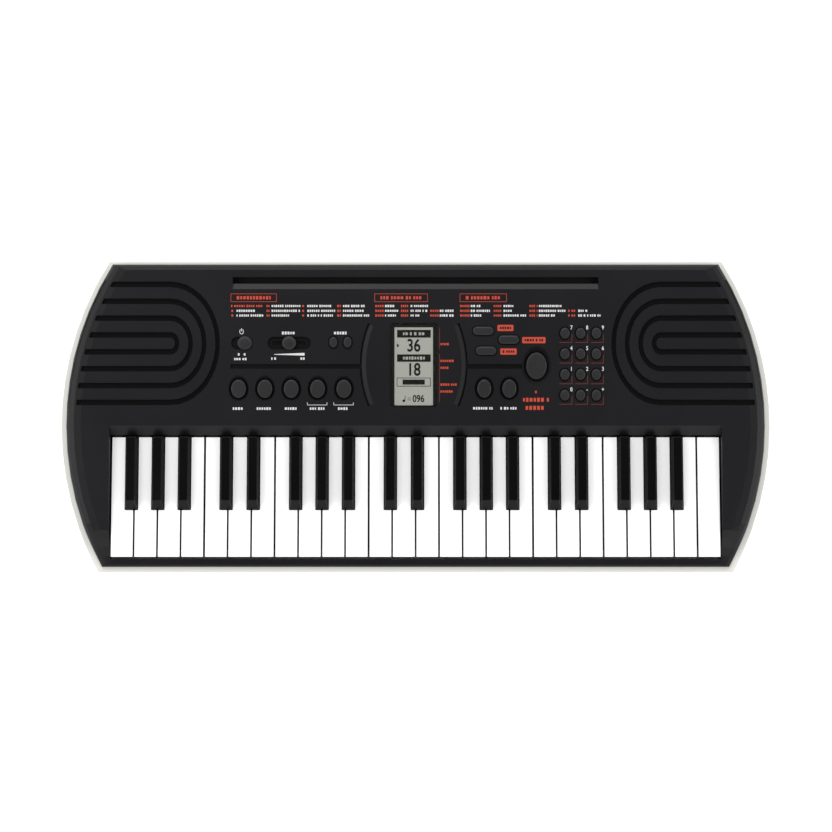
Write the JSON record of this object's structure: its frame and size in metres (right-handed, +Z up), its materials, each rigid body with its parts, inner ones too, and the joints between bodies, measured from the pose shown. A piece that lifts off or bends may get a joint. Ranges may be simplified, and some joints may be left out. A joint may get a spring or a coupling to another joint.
{
  "type": "portable keyboard",
  "caption": "Portable electronic keyboard with small keys, a sloped button panel with a display, two grilles and a slot for a music rest.",
  "frame": {"origin": "on the surface that the keyboard stands on, below the middle of its outline", "axes": "+X to the player's right, +Y away from the player, +Z up"},
  "size_m": [0.6042, 0.264, 0.0564],
  "materials": {
    "black_case": "satin",
    "off_white_case": "satin",
    "white_keys": "gloss",
    "black_keys": "satin",
    "grey_buttons": "matte",
    "clear_window": "clear",
    "display_module": "satin",
    "circuit_board": "satin",
    "key_frame": "matte",
    "contact_rubber": "matte",
    "speakers": "satin"
  },
  "bodies": {
    "case": {"upper_case": "black_case", "lower_case": "off_white_case", "display_window": "clear_window", "display_panel": "display_module", "main_board": "circuit_board", "key_frame": "key_frame", "rubber_contact_strip": "contact_rubber", "speaker_left": "speakers", "speaker_right": "speakers"},
    "battery_cover": {"battery_cover": "off_white_case"},
    "power_switch_knob": {"power_switch_knob": "grey_buttons"},
    "volume_knob": {"volume_knob": "grey_buttons"},
    "start_stop_button": {"start_stop_button": "grey_buttons"},
    "number_buttons": {"number_buttons": "grey_buttons"},
    "left_buttons": {"left_buttons": "grey_buttons"},
    "right_buttons": {"right_buttons": "grey_buttons"},
    "white_key_f3": {"white_key_f3": "white_keys"},
    "black_key_f3_sharp": {"black_key_f3_sharp": "black_keys"},
    "white_key_g3": {"white_key_g3": "white_keys"},
    "black_key_g3_sharp": {"black_key_g3_sharp": "black_keys"},
    "white_key_a3": {"white_key_a3": "white_keys"},
    "black_key_a3_sharp": {"black_key_a3_sharp": "black_keys"},
    "white_key_b3": {"white_key_b3": "white_keys"},
    "white_key_c4": {"white_key_c4": "white_keys"},
    "black_key_c4_sharp": {"black_key_c4_sharp": "black_keys"},
    "white_key_d4": {"white_key_d4": "white_keys"},
    "black_key_d4_sharp": {"black_key_d4_sharp": "black_keys"},
    "white_key_e4": {"white_key_e4": "white_keys"},
    "white_key_f4": {"white_key_f4": "white_keys"},
    "black_key_f4_sharp": {"black_key_f4_sharp": "black_keys"},
    "white_key_g4": {"white_key_g4": "white_keys"},
    "black_key_g4_sharp": {"black_key_g4_sharp": "black_keys"},
    "white_key_a4": {"white_key_a4": "white_keys"},
    "black_key_a4_sharp": {"black_key_a4_sharp": "black_keys"},
    "white_key_b4": {"white_key_b4": "white_keys"},
    "white_key_c5": {"white_key_c5": "white_keys"},
    "black_key_c5_sharp": {"black_key_c5_sharp": "black_keys"},
    "white_key_d5": {"white_key_d5": "white_keys"},
    "black_key_d5_sharp": {"black_key_d5_sharp": "black_keys"},
    "white_key_e5": {"white_key_e5": "white_keys"},
    "white_key_f5": {"white_key_f5": "white_keys"},
    "black_key_f5_sharp": {"black_key_f5_sharp": "black_keys"},
    "white_key_g5": {"white_key_g5": "white_keys"},
    "black_key_g5_sharp": {"black_key_g5_sharp": "black_keys"},
    "white_key_a5": {"white_key_a5": "white_keys"},
    "black_key_a5_sharp": {"black_key_a5_sharp": "black_keys"},
    "white_key_b5": {"white_key_b5": "white_keys"},
    "white_key_c6": {"white_key_c6": "white_keys"},
    "black_key_c6_sharp": {"black_key_c6_sharp": "black_keys"},
    "white_key_d6": {"white_key_d6": "white_keys"},
    "black_key_d6_sharp": {"black_key_d6_sharp": "black_keys"},
    "white_key_e6": {"white_key_e6": "white_keys"},
    "white_key_f6": {"white_key_f6": "white_keys"},
    "black_key_f6_sharp": {"black_key_f6_sharp": "black_keys"},
    "white_key_g6": {"white_key_g6": "white_keys"},
    "black_key_g6_sharp": {"black_key_g6_sharp": "black_keys"},
    "white_key_a6": {"white_key_a6": "white_keys"},
    "black_key_a6_sharp": {"black_key_a6_sharp": "black_keys"},
    "white_key_b6": {"white_key_b6": "white_keys"},
    "white_key_c7": {"white_key_c7": "white_keys"}
  },
  "joints": [
    {"name": "battery_cover_hinge", "type": "hinge", "parent": "case", "child": "battery_cover", "pos_m": [0, 0.0935, 0.003], "axis": [1, 0, 0], "range_deg": [0, 75]},
    {"name": "power_switch_slide", "type": "slide", "parent": "case", "child": "power_switch_knob", "axis": [1, 0, 0], "range_m": [-0.005, 0]},
    {"name": "volume_slide", "type": "slide", "parent": "case", "child": "volume_knob", "axis": [1, 0, 0], "range_m": [-0.012, 0.012]},
    {"name": "start_stop_button_press", "type": "slide", "parent": "case", "child": "start_stop_button", "axis": [0, 0.0872, -0.9962], "range_m": [0, 0.001], "stiffness_N_per_m": 200, "springref_m": -0.003},
    {"name": "number_buttons_press", "type": "slide", "parent": "case", "child": "number_buttons", "axis": [0, 0.0872, -0.9962], "range_m": [0, 0.001], "stiffness_N_per_m": 200, "springref_m": -0.003},
    {"name": "left_buttons_press", "type": "slide", "parent": "case", "child": "left_buttons", "axis": [0, 0.0872, -0.9962], "range_m": [0, 0.001], "stiffness_N_per_m": 200, "springref_m": -0.003},
    {"name": "right_buttons_press", "type": "slide", "parent": "case", "child": "right_buttons", "axis": [0, 0.0872, -0.9962], "range_m": [0, 0.001], "stiffness_N_per_m": 200, "springref_m": -0.003},
    {"name": "white_key_f3_press", "type": "hinge", "parent": "case", "child": "white_key_f3", "pos_m": [-0.25198, 0.0113, 0.0295], "axis": [1, 0, 0], "range_deg": [0, 2.42], "stiffness_Nm_per_rad": 0.35, "springref_deg": -5.73},
    {"name": "black_key_f3_sharp_press", "type": "hinge", "parent": "case", "child": "black_key_f3_sharp", "pos_m": [-0.24064, 0.0113, 0.0295], "axis": [1, 0, 0], "range_deg": [0, 2.42], "stiffness_Nm_per_rad": 0.35, "springref_deg": -5.73},
    {"name": "white_key_g3_press", "type": "hinge", "parent": "case", "child": "white_key_g3", "pos_m": [-0.22945, 0.0113, 0.0295], "axis": [1, 0, 0], "range_deg": [0, 2.42], "stiffness_Nm_per_rad": 0.35, "springref_deg": -5.73},
    {"name": "black_key_g3_sharp_press", "type": "hinge", "parent": "case", "child": "black_key_g3_sharp", "pos_m": [-0.21827, 0.0113, 0.0295], "axis": [1, 0, 0], "range_deg": [0, 2.42], "stiffness_Nm_per_rad": 0.35, "springref_deg": -5.73},
    {"name": "white_key_a3_press", "type": "hinge", "parent": "case", "child": "white_key_a3", "pos_m": [-0.20708, 0.0113, 0.0295], "axis": [1, 0, 0], "range_deg": [0, 2.42], "stiffness_Nm_per_rad": 0.35, "springref_deg": -5.73},
    {"name": "black_key_a3_sharp_press", "type": "hinge", "parent": "case", "child": "black_key_a3_sharp", "pos_m": [-0.1959, 0.0113, 0.0295], "axis": [1, 0, 0], "range_deg": [0, 2.42], "stiffness_Nm_per_rad": 0.35, "springref_deg": -5.73},
    {"name": "white_key_b3_press", "type": "hinge", "parent": "case", "child": "white_key_b3", "pos_m": [-0.18487, 0.0113, 0.0295], "axis": [1, 0, 0], "range_deg": [0, 2.42], "stiffness_Nm_per_rad": 0.35, "springref_deg": -5.73},
    {"name": "white_key_c4_press", "type": "hinge", "parent": "case", "child": "white_key_c4", "pos_m": [-0.17214, 0.0113, 0.0295], "axis": [1, 0, 0], "range_deg": [0, 2.42], "stiffness_Nm_per_rad": 0.35, "springref_deg": -5.73},
    {"name": "black_key_c4_sharp_press", "type": "hinge", "parent": "case", "child": "black_key_c4_sharp", "pos_m": [-0.16046, 0.0113, 0.0295], "axis": [1, 0, 0], "range_deg": [0, 2.42], "stiffness_Nm_per_rad": 0.35, "springref_deg": -5.73},
    {"name": "white_key_d4_press", "type": "hinge", "parent": "case", "child": "white_key_d4", "pos_m": [-0.14897, 0.0113, 0.0295], "axis": [1, 0, 0], "range_deg": [0, 2.42], "stiffness_Nm_per_rad": 0.35, "springref_deg": -5.73},
    {"name": "black_key_d4_sharp_press", "type": "hinge", "parent": "case", "child": "black_key_d4_sharp", "pos_m": [-0.13749, 0.0113, 0.0295], "axis": [1, 0, 0], "range_deg": [0, 2.42], "stiffness_Nm_per_rad": 0.35, "springref_deg": -5.73},
    {"name": "white_key_e4_press", "type": "hinge", "parent": "case", "child": "white_key_e4", "pos_m": [-0.12585, 0.0113, 0.0295], "axis": [1, 0, 0], "range_deg": [0, 2.42], "stiffness_Nm_per_rad": 0.35, "springref_deg": -5.73},
    {"name": "white_key_f4_press", "type": "hinge", "parent": "case", "child": "white_key_f4", "pos_m": [-0.11288, 0.0113, 0.0295], "axis": [1, 0, 0], "range_deg": [0, 2.42], "stiffness_Nm_per_rad": 0.35, "springref_deg": -5.73},
    {"name": "black_key_f4_sharp_press", "type": "hinge", "parent": "case", "child": "black_key_f4_sharp", "pos_m": [-0.10155, 0.0113, 0.0295], "axis": [1, 0, 0], "range_deg": [0, 2.42], "stiffness_Nm_per_rad": 0.35, "springref_deg": -5.73},
    {"name": "white_key_g4_press", "type": "hinge", "parent": "case", "child": "white_key_g4", "pos_m": [-0.09037, 0.0113, 0.0295], "axis": [1, 0, 0], "range_deg": [0, 2.42], "stiffness_Nm_per_rad": 0.35, "springref_deg": -5.73},
    {"name": "black_key_g4_sharp_press", "type": "hinge", "parent": "case", "child": "black_key_g4_sharp", "pos_m": [-0.07918, 0.0113, 0.0295], "axis": [1, 0, 0], "range_deg": [0, 2.42], "stiffness_Nm_per_rad": 0.35, "springref_deg": -5.73},
    {"name": "white_key_a4_press", "type": "hinge", "parent": "case", "child": "white_key_a4", "pos_m": [-0.06799, 0.0113, 0.0295], "axis": [1, 0, 0], "range_deg": [0, 2.42], "stiffness_Nm_per_rad": 0.35, "springref_deg": -5.73},
    {"name": "black_key_a4_sharp_press", "type": "hinge", "parent": "case", "child": "black_key_a4_sharp", "pos_m": [-0.05681, 0.0113, 0.0295], "axis": [1, 0, 0], "range_deg": [0, 2.42], "stiffness_Nm_per_rad": 0.35, "springref_deg": -5.73},
    {"name": "white_key_b4_press", "type": "hinge", "parent": "case", "child": "white_key_b4", "pos_m": [-0.04578, 0.0113, 0.0295], "axis": [1, 0, 0], "range_deg": [0, 2.42], "stiffness_Nm_per_rad": 0.35, "springref_deg": -5.73},
    {"name": "white_key_c5_press", "type": "hinge", "parent": "case", "child": "white_key_c5", "pos_m": [-0.03306, 0.0113, 0.0295], "axis": [1, 0, 0], "range_deg": [0, 2.42], "stiffness_Nm_per_rad": 0.35, "springref_deg": -5.73},
    {"name": "black_key_c5_sharp_press", "type": "hinge", "parent": "case", "child": "black_key_c5_sharp", "pos_m": [-0.02137, 0.0113, 0.0295], "axis": [1, 0, 0], "range_deg": [0, 2.42], "stiffness_Nm_per_rad": 0.35, "springref_deg": -5.73},
    {"name": "white_key_d5_press", "type": "hinge", "parent": "case", "child": "white_key_d5", "pos_m": [-0.00988, 0.0113, 0.0295], "axis": [1, 0, 0], "range_deg": [0, 2.42], "stiffness_Nm_per_rad": 0.35, "springref_deg": -5.73},
    {"name": "black_key_d5_sharp_press", "type": "hinge", "parent": "case", "child": "black_key_d5_sharp", "pos_m": [0.0016, 0.0113, 0.0295], "axis": [1, 0, 0], "range_deg": [0, 2.42], "stiffness_Nm_per_rad": 0.35, "springref_deg": -5.73},
    {"name": "white_key_e5_press", "type": "hinge", "parent": "case", "child": "white_key_e5", "pos_m": [0.01324, 0.0113, 0.0295], "axis": [1, 0, 0], "range_deg": [0, 2.42], "stiffness_Nm_per_rad": 0.35, "springref_deg": -5.73},
    {"name": "white_key_f5_press", "type": "hinge", "parent": "case", "child": "white_key_f5", "pos_m": [0.0262, 0.0113, 0.0295], "axis": [1, 0, 0], "range_deg": [0, 2.42], "stiffness_Nm_per_rad": 0.35, "springref_deg": -5.73},
    {"name": "black_key_f5_sharp_press", "type": "hinge", "parent": "case", "child": "black_key_f5_sharp", "pos_m": [0.03754, 0.0113, 0.0295], "axis": [1, 0, 0], "range_deg": [0, 2.42], "stiffness_Nm_per_rad": 0.35, "springref_deg": -5.73},
    {"name": "white_key_g5_press", "type": "hinge", "parent": "case", "child": "white_key_g5", "pos_m": [0.04872, 0.0113, 0.0295], "axis": [1, 0, 0], "range_deg": [0, 2.42], "stiffness_Nm_per_rad": 0.35, "springref_deg": -5.73},
    {"name": "black_key_g5_sharp_press", "type": "hinge", "parent": "case", "child": "black_key_g5_sharp", "pos_m": [0.05991, 0.0113, 0.0295], "axis": [1, 0, 0], "range_deg": [0, 2.42], "stiffness_Nm_per_rad": 0.35, "springref_deg": -5.73},
    {"name": "white_key_a5_press", "type": "hinge", "parent": "case", "child": "white_key_a5", "pos_m": [0.0711, 0.0113, 0.0295], "axis": [1, 0, 0], "range_deg": [0, 2.42], "stiffness_Nm_per_rad": 0.35, "springref_deg": -5.73},
    {"name": "black_key_a5_sharp_press", "type": "hinge", "parent": "case", "child": "black_key_a5_sharp", "pos_m": [0.08228, 0.0113, 0.0295], "axis": [1, 0, 0], "range_deg": [0, 2.42], "stiffness_Nm_per_rad": 0.35, "springref_deg": -5.73},
    {"name": "white_key_b5_press", "type": "hinge", "parent": "case", "child": "white_key_b5", "pos_m": [0.09331, 0.0113, 0.0295], "axis": [1, 0, 0], "range_deg": [0, 2.42], "stiffness_Nm_per_rad": 0.35, "springref_deg": -5.73},
    {"name": "white_key_c6_press", "type": "hinge", "parent": "case", "child": "white_key_c6", "pos_m": [0.10604, 0.0113, 0.0295], "axis": [1, 0, 0], "range_deg": [0, 2.42], "stiffness_Nm_per_rad": 0.35, "springref_deg": -5.73},
    {"name": "black_key_c6_sharp_press", "type": "hinge", "parent": "case", "child": "black_key_c6_sharp", "pos_m": [0.11772, 0.0113, 0.0295], "axis": [1, 0, 0], "range_deg": [0, 2.42], "stiffness_Nm_per_rad": 0.35, "springref_deg": -5.73},
    {"name": "white_key_d6_press", "type": "hinge", "parent": "case", "child": "white_key_d6", "pos_m": [0.1292, 0.0113, 0.0295], "axis": [1, 0, 0], "range_deg": [0, 2.42], "stiffness_Nm_per_rad": 0.35, "springref_deg": -5.73},
    {"name": "black_key_d6_sharp_press", "type": "hinge", "parent": "case", "child": "black_key_d6_sharp", "pos_m": [0.14069, 0.0113, 0.0295], "axis": [1, 0, 0], "range_deg": [0, 2.42], "stiffness_Nm_per_rad": 0.35, "springref_deg": -5.73},
    {"name": "white_key_e6_press", "type": "hinge", "parent": "case", "child": "white_key_e6", "pos_m": [0.15232, 0.0113, 0.0295], "axis": [1, 0, 0], "range_deg": [0, 2.42], "stiffness_Nm_per_rad": 0.35, "springref_deg": -5.73},
    {"name": "white_key_f6_press", "type": "hinge", "parent": "case", "child": "white_key_f6", "pos_m": [0.16529, 0.0113, 0.0295], "axis": [1, 0, 0], "range_deg": [0, 2.42], "stiffness_Nm_per_rad": 0.35, "springref_deg": -5.73},
    {"name": "black_key_f6_sharp_press", "type": "hinge", "parent": "case", "child": "black_key_f6_sharp", "pos_m": [0.17663, 0.0113, 0.0295], "axis": [1, 0, 0], "range_deg": [0, 2.42], "stiffness_Nm_per_rad": 0.35, "springref_deg": -5.73},
    {"name": "white_key_g6_press", "type": "hinge", "parent": "case", "child": "white_key_g6", "pos_m": [0.18782, 0.0113, 0.0295], "axis": [1, 0, 0], "range_deg": [0, 2.42], "stiffness_Nm_per_rad": 0.35, "springref_deg": -5.73},
    {"name": "black_key_g6_sharp_press", "type": "hinge", "parent": "case", "child": "black_key_g6_sharp", "pos_m": [0.199, 0.0113, 0.0295], "axis": [1, 0, 0], "range_deg": [0, 2.42], "stiffness_Nm_per_rad": 0.35, "springref_deg": -5.73},
    {"name": "white_key_a6_press", "type": "hinge", "parent": "case", "child": "white_key_a6", "pos_m": [0.21019, 0.0113, 0.0295], "axis": [1, 0, 0], "range_deg": [0, 2.42], "stiffness_Nm_per_rad": 0.35, "springref_deg": -5.73},
    {"name": "black_key_a6_sharp_press", "type": "hinge", "parent": "case", "child": "black_key_a6_sharp", "pos_m": [0.22137, 0.0113, 0.0295], "axis": [1, 0, 0], "range_deg": [0, 2.42], "stiffness_Nm_per_rad": 0.35, "springref_deg": -5.73},
    {"name": "white_key_b6_press", "type": "hinge", "parent": "case", "child": "white_key_b6", "pos_m": [0.23241, 0.0113, 0.0295], "axis": [1, 0, 0], "range_deg": [0, 2.42], "stiffness_Nm_per_rad": 0.35, "springref_deg": -5.73},
    {"name": "white_key_c7_press", "type": "hinge", "parent": "case", "child": "white_key_c7", "pos_m": [0.24838, 0.0113, 0.0295], "axis": [1, 0, 0], "range_deg": [0, 2.42], "stiffness_Nm_per_rad": 0.35, "springref_deg": -5.73}
  ]
}
